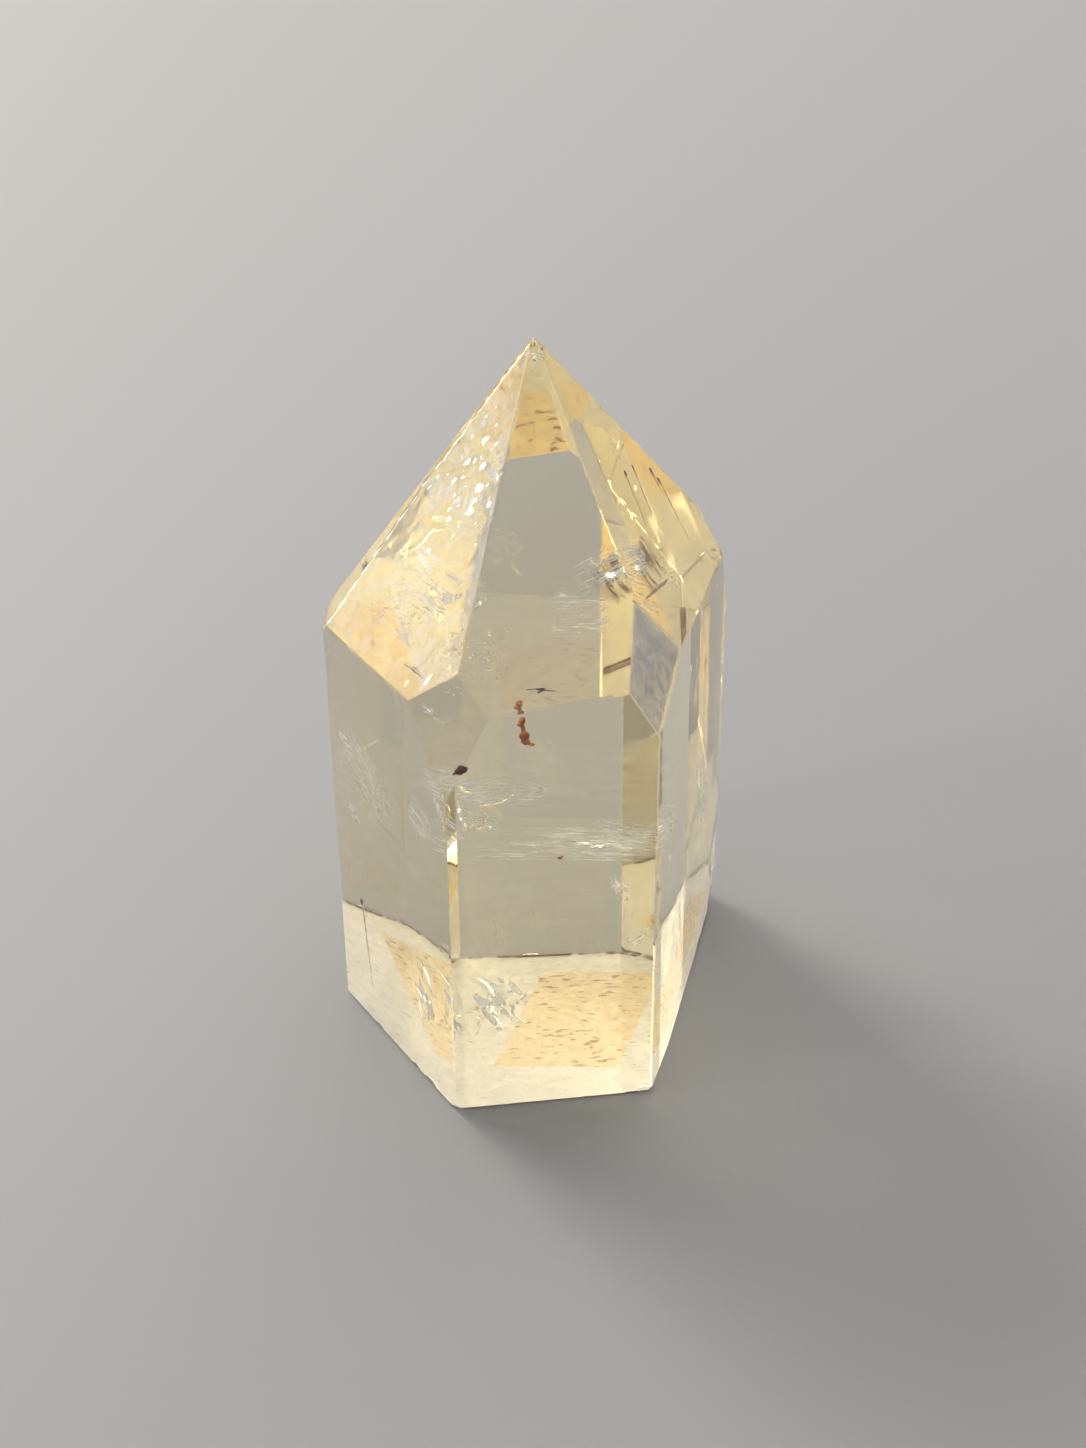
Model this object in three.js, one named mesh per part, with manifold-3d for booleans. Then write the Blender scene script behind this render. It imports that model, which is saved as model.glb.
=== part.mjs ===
// Citrine crystal point: one quartz crystal, standing on its sawn and polished base.
// Millimetres, +Z up. The origin is the middle of the footprint, on the base plane.
// The crystal is a convex body, so every face is one flat cut through the rough block.
import * as THREE from 'three';
import { mergeVertices } from 'three/addons/utils/BufferGeometryUtils.js';
import Module from 'manifold-3d';

// Driving dimensions. An azimuth is where a face looks, in degrees round the upright axis:
// 0 is the front (-Y) and 90 is the right (+X). A slope is how far it leans back to look up.
const height = 80;
const apex = new THREE.Vector3(0.5, 3.5, height);
const roughHeight = height + 10;
const blockSize = 200;

// Prism faces, in order round the crystal, each at its distance from the upright axis.
const prismFaces = [
  { name: 'front', azimuth: 7, distance: 21.9 },
  { name: 'rightStrip', azimuth: 73, distance: 18.1 },
  { name: 'right', azimuth: 76, distance: 17.65 },
  { name: 'backRight', azimuth: 146.5, distance: 23.4 },
  { name: 'back', azimuth: 180, distance: 23.1 },
  { name: 'backLeft', azimuth: 219, distance: 25 },
  { name: 'left', azimuth: 260, distance: 20.7 },
  { name: 'frontLeft', azimuth: 303.5, distance: 20.1 },
];

// Termination faces that meet in the tip.
const tipFaces = [
  { name: 'leftTip', azimuth: 303, slope: 37.5 },
  { name: 'frontTip', azimuth: 0.5, slope: 43 },
  { name: 'rightTip', azimuth: 81, slope: 32.5 },
  { name: 'backRightTip', azimuth: 147, slope: 34 },
  { name: 'backTip', azimuth: 186.5, slope: 35 },
  { name: 'backLeftTip', azimuth: 248, slope: 33 },
];

// Small faces on the shoulders and the broken corner of the base, by distance from the origin.
const smallFaces = [
  { name: 'leftShoulder', azimuth: 327, slope: 16.5, distance: 35.2 },
  { name: 'rightShoulder', azimuth: 57.5, slope: 23, distance: 38.8 },
  { name: 'backRightShoulder', azimuth: 118.5, slope: 16, distance: 36 },
  { name: 'leftBevel', azimuth: 270, slope: 36, distance: 47.1 },
  { name: 'brokenBaseCorner', azimuth: 121, slope: -33.5, distance: 19 },
  { name: 'wornBaseCorner', azimuth: 333, slope: -30, distance: 20.9 },
];

const citrine = new THREE.MeshStandardMaterial({
  color: 0xe8d6a4,
  roughness: 0.05,
  metalness: 0,
  transparent: true,
  opacity: 0.75,
  flatShading: true,
});

const wasm = await Module();
wasm.setup();

// A closed three.js geometry as a solid, with the shared corners merged.
function toSolid(geometry) {
  const bare = geometry.clone();
  bare.deleteAttribute('normal');
  bare.deleteAttribute('uv');
  const merged = mergeVertices(bare, 1e-4);
  return new wasm.Manifold(new wasm.Mesh({
    numProp: 3,
    vertProperties: new Float32Array(merged.attributes.position.array),
    triVerts: new Uint32Array(merged.index.array),
  }));
}

function toGeometry(solid) {
  const mesh = solid.getMesh();
  const geometry = new THREE.BufferGeometry();
  geometry.setAttribute('position', new THREE.BufferAttribute(mesh.vertProperties, 3));
  geometry.setIndex(new THREE.BufferAttribute(mesh.triVerts, 1));
  geometry.computeVertexNormals();
  return geometry;
}

function faceNormal(azimuth, slope = 0) {
  const round = THREE.MathUtils.degToRad(azimuth);
  const up = THREE.MathUtils.degToRad(slope);
  return new THREE.Vector3(
    Math.sin(round) * Math.cos(up),
    -Math.cos(round) * Math.cos(up),
    Math.sin(up),
  );
}

// The corner of the footprint where two neighbouring prism faces meet.
function footprintCorner(faceA, faceB) {
  const a = faceNormal(faceA.azimuth);
  const b = faceNormal(faceB.azimuth);
  const turn = a.x * b.y - a.y * b.x;
  return new THREE.Vector2(
    (faceA.distance * b.y - faceB.distance * a.y) / turn,
    (faceB.distance * a.x - faceA.distance * b.x) / turn,
  );
}

// The rough block: the prism's footprint, drawn straight up past the tip.
function makePrism() {
  const corners = prismFaces.map((face, i) => {
    const next = prismFaces[(i + 1) % prismFaces.length];
    return footprintCorner(face, next);
  });
  const footprint = new THREE.Shape(corners);
  return new THREE.ExtrudeGeometry(footprint, { depth: roughHeight, bevelEnabled: false });
}

// Takes away all that lies outside one face, with a block whose near side is that face.
function cutFace(solid, face) {
  const normal = faceNormal(face.azimuth, face.slope);
  const distance = face.distance ?? normal.dot(apex);
  const block = new THREE.BoxGeometry(blockSize, blockSize, blockSize);
  const turn = new THREE.Quaternion().setFromUnitVectors(new THREE.Vector3(0, 0, 1), normal);
  const middle = normal.clone().multiplyScalar(distance + blockSize / 2);
  block.applyQuaternion(turn);
  block.translate(middle.x, middle.y, middle.z);
  return solid.subtract(toSolid(block));
}

function makeCrystal() {
  let solid = toSolid(makePrism());
  for (const face of [...tipFaces, ...smallFaces]) {
    solid = cutFace(solid, face);
  }
  return new THREE.Mesh(toGeometry(solid), citrine);
}

const crystal = makeCrystal();
crystal.name = 'crystal_point';

const citrinePoint = new THREE.Group();
citrinePoint.name = 'citrine_crystal_point';
citrinePoint.add(crystal);

export default citrinePoint;
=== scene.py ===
import math
import random
import bpy
from mathutils import Euler, Matrix, Vector, noise


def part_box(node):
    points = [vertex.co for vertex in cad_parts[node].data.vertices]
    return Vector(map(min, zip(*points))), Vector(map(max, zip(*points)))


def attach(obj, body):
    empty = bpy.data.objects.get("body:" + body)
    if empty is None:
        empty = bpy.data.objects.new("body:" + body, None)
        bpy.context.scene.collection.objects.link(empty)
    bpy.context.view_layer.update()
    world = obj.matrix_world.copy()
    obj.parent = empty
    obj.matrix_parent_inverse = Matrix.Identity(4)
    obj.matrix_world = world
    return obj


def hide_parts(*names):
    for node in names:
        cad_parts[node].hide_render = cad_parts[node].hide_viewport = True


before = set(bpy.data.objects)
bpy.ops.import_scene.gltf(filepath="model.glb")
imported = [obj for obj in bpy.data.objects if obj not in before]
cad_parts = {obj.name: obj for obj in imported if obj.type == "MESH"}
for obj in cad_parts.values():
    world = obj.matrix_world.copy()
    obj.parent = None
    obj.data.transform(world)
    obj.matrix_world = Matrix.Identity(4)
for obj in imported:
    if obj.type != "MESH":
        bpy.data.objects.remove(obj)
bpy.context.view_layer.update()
low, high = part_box("crystal_point")
crystalHeight = high.z - low.z
mm = crystalHeight / 80  # the crystal stands 80 mm tall, so every place and size below follows it
print("frame loaded, crystal", round(crystalHeight * 1000, 1), "mm tall")


def place(spot):  # millimetres from the middle of the base
    return Vector(spot) * mm


def turned(degrees):
    return tuple(math.radians(angle) for angle in degrees)


def facing(azimuth, slope=0):  # azimuth 0 looks at the viewer, 90 to the right, slope leans up
    side, up = math.radians(azimuth), math.radians(slope)
    return Vector((math.sin(side) * math.cos(up), -math.cos(side) * math.cos(up), math.sin(up)))


def deselectAll():
    if bpy.context.mode != "OBJECT":
        bpy.ops.object.mode_set(mode="OBJECT")
    bpy.ops.object.select_all(action="DESELECT")


def makeActive(piece):
    deselectAll()
    piece.select_set(True)
    bpy.context.view_layer.objects.active = piece


def applyModifiers(piece):
    makeActive(piece)
    for modifier in list(piece.modifiers):
        bpy.ops.object.modifier_apply(modifier=modifier.name)


def editAll():  # edit mode, with the whole mesh selected
    bpy.ops.object.mode_set(mode="EDIT")
    bpy.ops.mesh.select_all(action="SELECT")


def leaveEdit():
    bpy.ops.object.mode_set(mode="OBJECT")


def settle(piece, name):  # puts the place into the mesh, so the object itself sits at the origin
    makeActive(piece)
    bpy.ops.object.transform_apply(location=True, rotation=True, scale=True)
    piece.name = name
    piece.data.name = name
    return piece


def outwardFaces(piece):
    makeActive(piece)
    editAll()
    bpy.ops.mesh.remove_doubles(threshold=1e-7)
    bpy.ops.mesh.normals_make_consistent(inside=False)
    leaveEdit()


def joined(parts):
    deselectAll()
    for part in parts:
        part.select_set(True)
    bpy.context.view_layer.objects.active = parts[0]
    bpy.ops.object.join()
    return bpy.context.object


def sealIn(piece, material):  # a feature that is sealed in the crystal moves with it
    piece.data.materials.clear()
    piece.data.materials.append(material)
    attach(piece, "root")


def addLump(lump):  # a ball pressed into shape, with its half widths in millimetres
    deselectAll()
    bpy.ops.mesh.primitive_ico_sphere_add(
        subdivisions=4, radius=mm, location=place(lump["spot"]),
        rotation=turned(lump["lean"]), scale=lump["size"])
    return bpy.context.object


def addDisplace(piece, kind, size, strength, **more):
    texture = bpy.data.textures.new(piece.name + "Relief", kind)
    texture.noise_scale = size
    if kind == "CLOUDS":
        texture.noise_depth = 2
    relief = piece.modifiers.new("relief", "DISPLACE")
    relief.texture = texture
    relief.strength = strength
    for key, value in more.items():
        setattr(relief, key, value)


# camera: where the viewer stands
view = {
    "lens": 61.7,
    "distance": 0.269,
    "aim": (0.0011, 0.0, 0.0351),
    "lookDown": 35.8,
    "lean": -0.44,
    "clipStart": 0.005,
}


def addCamera():
    down = math.radians(view["lookDown"])
    forward = Vector((0, math.cos(down), -math.sin(down)))
    bpy.ops.object.camera_add(location=Vector(view["aim"]) - forward * view["distance"])
    camera = bpy.context.object
    turn = Euler((math.pi / 2 - down, 0, 0)).to_matrix()
    lean = Matrix.Rotation(math.radians(view["lean"]), 3, "Z")
    camera.rotation_euler = (turn @ lean).to_euler()
    camera.data.lens = view["lens"]
    camera.data.clip_start = view["clipStart"]
    bpy.context.scene.camera = camera


addCamera()

# studio: pale floor, a broad soft window behind, smaller lamps that give glints and the shadow
studio = {
    "lampAim": 0.45,  # how far up the crystal the lamps point
    "floorSize": 3.0,
    "floorGap": 0.0002,
    "floorColour": (0.125, 0.125, 0.127, 1),
    "floorRoughness": 0.7,
    "worldColour": (0.62, 0.64, 0.68, 1),
    "worldStrength": 1.45,
    "bounces": 40,
    "glossyBounces": 16,
    "sheetBounces": 32,
}
softLights = {
    "backWindow": {"azimuth": 182, "height": 42, "distance": 1.2, "size": (2.4, 1.3), "glow": 2.5,
                   "colour": (1.0, 0.93, 0.80)},
    "backKey": {"azimuth": 222, "height": 38, "distance": 1.0, "size": (0.32, 0.32), "glow": 36,
                "colour": (1.0, 0.95, 0.86)},
    "leftGlint": {"azimuth": 263, "height": 22, "distance": 0.9, "size": (0.14, 0.34), "glow": 13,
                  "colour": (1.0, 0.98, 0.95)},
    "cellGlintA": {"azimuth": 286, "height": 38, "distance": 0.8, "size": (0.1, 0.1), "glow": 45,
                   "colour": (1.0, 0.99, 0.97)},
    "cellGlintB": {"azimuth": 240, "height": 42, "distance": 0.8, "size": (0.1, 0.1), "glow": 45,
                   "colour": (1.0, 0.99, 0.97)},
    "leftSheen": {"azimuth": 252, "height": 16, "distance": 1.0, "size": (0.5, 0.5), "glow": 1.3,
                  "colour": (0.96, 0.98, 1.0)},
}


def addLamp(name, lamp):
    out = facing(lamp["azimuth"], lamp["height"])
    middle = Vector((0, 0, crystalHeight * studio["lampAim"]))
    bpy.ops.object.light_add(type="AREA", location=middle + out * lamp["distance"])
    light = bpy.context.object
    light.name = name
    light.rotation_euler = out.to_track_quat("Z", "Y").to_euler()
    wide, tall = lamp["size"]
    light.data.shape = "RECTANGLE"
    light.data.size = wide
    light.data.size_y = tall
    light.data.energy = lamp["glow"] * math.pi * wide * tall
    light.data.color = lamp["colour"]


def paleFloorMaterial():
    material = bpy.data.materials.new("paleFloor")
    material.use_nodes = True
    shader = material.node_tree.nodes["Principled BSDF"]
    shader.inputs["Base Color"].default_value = studio["floorColour"]
    shader.inputs["Roughness"].default_value = studio["floorRoughness"]
    return material


def addStudio():
    deselectAll()
    floorHeight = low.z - studio["floorGap"]
    bpy.ops.mesh.primitive_plane_add(size=studio["floorSize"], location=(0, 0, floorHeight))
    floor = settle(bpy.context.object, "studio_floor")
    floor.data.materials.append(paleFloorMaterial())
    world = bpy.data.worlds.new("softRoom")
    world.use_nodes = True
    room = world.node_tree.nodes["Background"]
    room.inputs["Color"].default_value = studio["worldColour"]
    room.inputs["Strength"].default_value = studio["worldStrength"]
    bpy.context.scene.world = world
    for name, lamp in softLights.items():
        addLamp(name, lamp)
    rays = bpy.context.scene.cycles  # light crosses the crystal many times before it leaves
    rays.max_bounces = studio["bounces"]
    rays.transmission_bounces = studio["bounces"]
    rays.glossy_bounces = studio["glossyBounces"]
    rays.transparent_max_bounces = studio["sheetBounces"]
    bpy.context.scene.view_settings.view_transform = "Standard"


addStudio()
print("camera and studio ready")


# node helpers
def newMaterial(name):
    material = bpy.data.materials.new(name)
    material.use_nodes = True
    tree = material.node_tree
    return material, tree, tree.nodes["Principled BSDF"]


def feed(tree, socket, value):  # a fixed value, or what another node gives
    if isinstance(value, (int, float, tuple)):
        socket.default_value = value
    else:
        tree.links.new(value, socket)


def addNoise(tree, vector, scale, detail=3.0, distortion=0.0):
    grain = tree.nodes.new("ShaderNodeTexNoise")
    feed(tree, grain.inputs["Scale"], scale)
    grain.inputs["Detail"].default_value = detail
    grain.inputs["Distortion"].default_value = distortion
    tree.links.new(vector, grain.inputs["Vector"])
    return grain.outputs["Fac"]


def addRange(tree, value, fromLow, fromHigh, toLow, toHigh):
    ramp = tree.nodes.new("ShaderNodeMapRange")
    ramp.inputs["From Min"].default_value = fromLow
    ramp.inputs["From Max"].default_value = fromHigh
    ramp.inputs["To Min"].default_value = toLow
    ramp.inputs["To Max"].default_value = toHigh
    tree.links.new(value, ramp.inputs["Value"])
    return ramp.outputs["Result"]


def addMath(tree, operation, first, second):
    node = tree.nodes.new("ShaderNodeMath")
    node.operation = operation
    feed(tree, node.inputs[0], first)
    feed(tree, node.inputs[1], second)
    return node.outputs["Value"]


def multiply(tree, first, second):
    return addMath(tree, "MULTIPLY", first, second)


def addMix(tree, factor, first, second):
    mix = tree.nodes.new("ShaderNodeMix")
    mix.data_type = "RGBA"
    tree.links.new(factor, mix.inputs[0])
    feed(tree, mix.inputs[6], first)
    feed(tree, mix.inputs[7], second)
    return mix.outputs[2]


def tint(tree, shader, grain, first, second):
    tree.links.new(addMix(tree, grain, first, second), shader.inputs["Base Color"])


def roughen(tree, shader, grain, smooth, rough):
    tree.links.new(addRange(tree, grain, 0.3, 0.7, smooth, rough), shader.inputs["Roughness"])


def addBump(tree, shader, height, strength, distance):
    bump = tree.nodes.new("ShaderNodeBump")
    bump.inputs["Strength"].default_value = strength
    bump.inputs["Distance"].default_value = distance
    tree.links.new(height, bump.inputs["Height"])
    tree.links.new(bump.outputs["Normal"], shader.inputs["Normal"])


def newGroup(name, inputs, outputs):
    group = bpy.data.node_groups.new(name, "ShaderNodeTree")
    for socketName, kind, value in inputs:
        socket = group.interface.new_socket(socketName, in_out="INPUT", socket_type=kind)
        if value is not None:
            socket.default_value = value
    for socketName, kind in outputs:
        group.interface.new_socket(socketName, in_out="OUTPUT", socket_type=kind)
    return group, group.nodes.new("NodeGroupInput"), group.nodes.new("NodeGroupOutput")


def placeGroup(tree, group, **values):
    box = tree.nodes.new("ShaderNodeGroup")
    box.node_tree = group
    for key, value in values.items():
        feed(tree, box.inputs[key], value)
    return box


def addMapping(tree, vector, turn, stretch):
    mapping = tree.nodes.new("ShaderNodeMapping")
    mapping.inputs["Rotation"].default_value = turned(turn)
    mapping.inputs["Scale"].default_value = stretch
    tree.links.new(vector, mapping.inputs["Vector"])
    return mapping.outputs["Vector"]


def splitAxes(tree, vector):
    split = tree.nodes.new("ShaderNodeSeparateXYZ")
    tree.links.new(vector, split.inputs["Vector"])
    return split.outputs


def objectCoordinates(tree):
    return tree.nodes.new("ShaderNodeTexCoord").outputs["Object"]


# polishing wear: faint waviness and hairline scuffs, for every cut face
polish = {
    "scuffTurn": (20, 35, 15),
    "scuffStretch": (6, 0.5, 0.7),
    "scuffRange": (0.62, 0.72),
    "waveShare": 0.4,
}


def makePolishWear():
    inputs = [("Vector", "NodeSocketVector", None), ("Scale", "NodeSocketFloat", 400.0),
              ("Scuffs", "NodeSocketFloat", 0.5)]
    outputs = [("Height", "NodeSocketFloat"), ("Dullness", "NodeSocketFloat")]
    tree, start, end = newGroup("polishWear", inputs, outputs)
    scale = start.outputs["Scale"]
    stretched = addMapping(tree, start.outputs["Vector"], polish["scuffTurn"], polish["scuffStretch"])
    lines = addRange(tree, addNoise(tree, stretched, scale, 2), *polish["scuffRange"], 0, 1)
    waveScale = multiply(tree, scale, polish["waveShare"])
    wave = addNoise(tree, start.outputs["Vector"], waveScale, 1)
    scuffs = multiply(tree, lines, start.outputs["Scuffs"])
    height = addMath(tree, "SUBTRACT", wave, scuffs)
    tree.links.new(height, end.inputs["Height"])
    tree.links.new(scuffs, end.inputs["Dullness"])
    return tree


# wisps: long broken streaks that fade out before the edge of the sheet they lie on
wisp = {
    "drift": 90,
    "streakDetail": 4.0,
    "streakBend": 0.5,
    "patchScale": 260,
    "patchShare": 0.45,
    "fadeFrom": 0.28,
}


def makeWispMask():
    inputs = [("Sheet", "NodeSocketVector", None), ("Body", "NodeSocketVector", None),
              ("Along", "NodeSocketFloat", 3.0), ("Across", "NodeSocketFloat", 30.0),
              ("Sparse", "NodeSocketFloat", 0.5), ("Soft", "NodeSocketFloat", 0.1)]
    tree, start, end = newGroup("wispMask", inputs, [("Mask", "NodeSocketFloat")])
    sheetAxes = splitAxes(tree, start.outputs["Sheet"])
    bodyAxes = splitAxes(tree, start.outputs["Body"])
    streakVector = tree.nodes.new("ShaderNodeCombineXYZ")
    drift = addMath(tree, "ADD", bodyAxes["X"], bodyAxes["Z"])
    for axis, along, share in (("X", sheetAxes["X"], start.outputs["Along"]),
                               ("Y", sheetAxes["Y"], start.outputs["Across"]),
                               ("Z", drift, wisp["drift"])):
        tree.links.new(multiply(tree, along, share), streakVector.inputs[axis])
    streaks = addNoise(tree, streakVector.outputs["Vector"], 1.0,
                       wisp["streakDetail"], wisp["streakBend"])
    patches = addNoise(tree, start.outputs["Body"], wisp["patchScale"], 2.0)
    patchy = multiply(tree, patches, wisp["patchShare"])
    both = addMath(tree, "ADD", streaks, patchy)
    line = addMath(tree, "ADD", start.outputs["Sparse"], wisp["patchShare"] / 2)
    over = addMath(tree, "SUBTRACT", both, line)
    strength = addMath(tree, "DIVIDE", over, start.outputs["Soft"])
    rim = None
    for axis in ("X", "Y"):
        fromMiddle = addMath(tree, "SUBTRACT", sheetAxes[axis], 0.5)
        away = addMath(tree, "ABSOLUTE", fromMiddle, 0)
        fade = addRange(tree, away, wisp["fadeFrom"], 0.5, 1, 0)
        rim = fade if rim is None else multiply(tree, rim, fade)
    faded = multiply(tree, strength, rim)
    mask = tree.nodes.new("ShaderNodeClamp")
    tree.links.new(faded, mask.inputs["Value"])
    tree.links.new(mask.outputs["Result"], end.inputs["Mask"])
    return tree


polishWear = makePolishWear()
wispMask = makeWispMask()

# the crystal itself
crystalLook = {
    "ior": 1.548,
    "absorbColour": (0.91, 0.745, 0.14, 1),
    "absorbDensity": 8.6,
    "edgeWear": 0.15,
    "wearScale": 420.0,
    "wearScuffs": 0.2,
    "wearDullness": 0.1,
    "frostScale": 1500,
    "frostRelief": 6,
    "tintScale": 90,
    "tints": ((0.985, 0.98, 0.965, 1), (1, 1, 1, 1)),
    "bumpStrength": 0.10,
    "bumpDepth": 0.03,
}
facetBend = 0.4  # triangles whose directions differ by fewer degrees become one facet
flatEnough = 0.9999  # faces whose directions agree this well lie on one facet
etchedFacets = {
    "leftTip": {
        "azimuth": 303, "slope": 37.5, "step": 0.27, "dull": 0.06,
        "reliefs": [
            {"kind": "VORONOI", "size": 1.2, "depth": 0.15, "rest": 0.0,
             "focus": (-4.5, -3.5, 68), "reach": 7.5},
            {"kind": "CLOUDS", "size": 1.1, "depth": 0.075, "rest": 0.55,
             "focus": (-8, -4, 64), "reach": 10},
        ],
    },
    "rightShoulder": {
        "azimuth": 57.5, "slope": 23, "step": 0.22, "dull": 0.2,
        "reliefs": [
            {"kind": "CLOUDS", "size": 0.7, "depth": 0.04, "rest": 1.0,
             "focus": (12, -17, 54), "reach": 10},
        ],
    },
}
chipRelief = {"size": 0.5, "strength": 0.22}
baseChips = [
    {"spot": (12.4, -20.5, 0.1), "size": (1.3, 0.9, 0.55), "lean": (10, 20, 5)},
    {"spot": (10.6, -20.9, 0.0), "size": (0.9, 0.5, 0.4), "lean": (0, 0, 12)},
    {"spot": (5.6, -21.5, 0.0), "size": (0.7, 0.3, 0.25), "lean": (0, 0, 5)},
    {"spot": (-13.3, -16.3, 0.0), "size": (0.8, 0.8, 0.45), "lean": (0, 10, 40)},
    {"spot": (-11.6, -18.9, 0.2), "size": (1.1, 0.5, 0.5), "lean": (20, 0, -55)},
    {"spot": (-17.6, -9.8, 0.0), "size": (0.7, 0.3, 0.3), "lean": (0, 0, -56)},
    {"spot": (21.0, 12.0, 6.2), "size": (0.7, 0.8, 1.4), "lean": (0, 15, 20)},
    {"spot": (14.0, 19.2, 0.6), "size": (1.3, 0.7, 0.6), "lean": (0, 0, -30)},
    {"spot": (-3.0, 23.1, 0.0), "size": (1.2, 0.4, 0.3), "lean": (0, 0, 0)},
    {"spot": (-16.0, 19.4, 0.0), "size": (0.8, 0.6, 0.5), "lean": (0, 0, 40)},
    {"spot": (21.7, 14.0, 30.5), "size": (0.35, 0.5, 1.6), "lean": (0, 0, 20)},
    {"spot": (21.7, 14.0, 39.0), "size": (0.4, 0.6, 1.1), "lean": (0, 0, 20)},
]


def copyCrystal():  # a clean copy of the solid, with whole facets in place of its triangles
    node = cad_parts["crystal_point"]
    crystal = node.copy()
    crystal.data = node.data.copy()
    bpy.context.scene.collection.objects.link(crystal)
    crystal.parent = None
    crystal.hide_viewport = False
    crystal.hide_render = False
    crystal.hide_set(False)
    for key in list(crystal.keys()):
        del crystal[key]
    crystal.name = "citrine_body"
    crystal.data.materials.clear()
    makeActive(crystal)
    editAll()
    bpy.ops.mesh.remove_doubles(threshold=1e-5)
    bpy.ops.mesh.dissolve_limited(angle_limit=math.radians(facetBend))
    leaveEdit()
    return crystal


def wearEdges(crystal):
    bevel = crystal.modifiers.new("edgeWear", "BEVEL")
    bevel.width = crystalLook["edgeWear"] * mm
    bevel.segments = 1
    applyModifiers(crystal)
    bpy.ops.object.shade_flat()


def chipEdges(crystal):
    cutters = []
    for index, chip in enumerate(baseChips):
        cutter = addLump(chip)
        cutter.name = "chipCutter" + str(index)
        addDisplace(cutter, "CLOUDS", chipRelief["size"] * mm, chipRelief["strength"] * mm,
                    mid_level=0.5, texture_coords="GLOBAL")
        applyModifiers(cutter)
        bpy.ops.object.shade_smooth()
        cutters.append(cutter)
    cutter = settle(joined(cutters), "chipCutters")
    bite = crystal.modifiers.new("chips", "BOOLEAN")
    bite.operation = "DIFFERENCE"
    bite.solver = "EXACT"
    bite.object = cutter
    bite.use_self = True
    applyModifiers(crystal)
    bpy.data.objects.remove(cutter, do_unlink=True)


def latticeFacet(crystal, facet, slot):  # cuts one face into small squares, so that relief can be real
    normal = facing(facet["azimuth"], facet["slope"])
    candidates = [face for face in crystal.data.polygons if face.normal.dot(normal) > flatEnough]
    face = max(candidates, key=lambda candidate: candidate.area)
    face.material_index = slot
    corners = [crystal.data.vertices[i].co for i in face.vertices]
    across = Vector((0, 0, 1)).cross(normal).normalized()
    upward = normal.cross(across)
    step = facet["step"] * mm
    makeActive(crystal)
    bpy.ops.object.mode_set(mode="EDIT")
    bpy.context.tool_settings.mesh_select_mode = (False, False, True)
    crystal.active_material_index = slot
    for direction in (across, upward):
        reach = [corner.dot(direction) for corner in corners]
        for cut in range(1, int((max(reach) - min(reach)) / step)):
            bpy.ops.mesh.select_all(action="DESELECT")
            bpy.ops.object.material_slot_select()
            bpy.ops.mesh.bisect(plane_co=direction * (min(reach) + cut * step), plane_no=direction)
    leaveEdit()


def etchFacet(crystal, facet, slot):  # sinks the facet into dimples or ripples, but not its rim
    mesh = crystal.data
    inside = set()
    rim = set()
    for face in mesh.polygons:
        side = inside if face.material_index == slot else rim
        side.update(face.vertices)
    inside -= rim
    for number, relief in enumerate(facet["reliefs"]):
        group = crystal.vertex_groups.new(name="etch" + str(slot) + "_" + str(number))
        focus = place(relief["focus"])
        for index in inside:
            away = (mesh.vertices[index].co - focus).length / (relief["reach"] * mm)
            weight = relief["rest"] + (1 - relief["rest"]) * math.exp(-away * away)
            group.add([index], weight, "REPLACE")
        addDisplace(crystal, relief["kind"], relief["size"] * mm, relief["depth"] * mm,
                    mid_level=1.0, vertex_group=group.name)
    applyModifiers(crystal)
    crystal.vertex_groups.clear()
    mesh = crystal.data
    for face in mesh.polygons:
        if face.material_index == slot:
            face.use_smooth = True


def markEtching(crystal):  # how dull each facet is, kept with the mesh for the material
    etching = crystal.data.attributes.new("etching", "FLOAT", "FACE")
    dullness = {slot: facet["dull"] for slot, facet in enumerate(etchedFacets.values(), start=1)}
    for face in crystal.data.polygons:
        etching.data[face.index].value = dullness.get(face.material_index, 0)
        face.material_index = 0


def citrineMaterial():
    material, tree, shader = newMaterial("citrineClear")
    shader.inputs["IOR"].default_value = crystalLook["ior"]
    shader.inputs["Transmission Weight"].default_value = 1.0
    body = objectCoordinates(tree)
    wear = placeGroup(tree, polishWear, Vector=body, Scale=crystalLook["wearScale"],
                      Scuffs=crystalLook["wearScuffs"])
    etching = tree.nodes.new("ShaderNodeAttribute")
    etching.attribute_name = "etching"
    frost = addNoise(tree, body, crystalLook["frostScale"])
    frosting = multiply(tree, etching.outputs["Fac"], frost)
    scuffing = multiply(tree, wear.outputs["Dullness"], crystalLook["wearDullness"])
    tree.links.new(addMath(tree, "ADD", frosting, scuffing), shader.inputs["Roughness"])
    cloud = addNoise(tree, body, crystalLook["tintScale"])
    tint(tree, shader, cloud, *crystalLook["tints"])
    pits = multiply(tree, frosting, crystalLook["frostRelief"])
    relief = addMath(tree, "ADD", wear.outputs["Height"], pits)
    addBump(tree, shader, relief, crystalLook["bumpStrength"], crystalLook["bumpDepth"] * mm)
    absorb = tree.nodes.new("ShaderNodeVolumeAbsorption")
    absorb.inputs["Color"].default_value = crystalLook["absorbColour"]
    absorb.inputs["Density"].default_value = crystalLook["absorbDensity"]
    tree.links.new(absorb.outputs["Volume"], tree.nodes["Material Output"].inputs["Volume"])
    return material


def makeCrystal():
    crystal = copyCrystal()
    wearEdges(crystal)
    chipEdges(crystal)
    crystal.data.materials.clear()
    citrine = citrineMaterial()
    for slot in range(len(etchedFacets) + 1):
        crystal.data.materials.append(citrine)
    for slot, facet in enumerate(etchedFacets.values(), start=1):
        latticeFacet(crystal, facet, slot)
        etchFacet(crystal, facet, slot)
    markEtching(crystal)
    crystal.data.materials.clear()
    crystal.data.materials.append(citrine)
    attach(crystal, "root")
    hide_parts("crystal_point")
    return crystal


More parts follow.
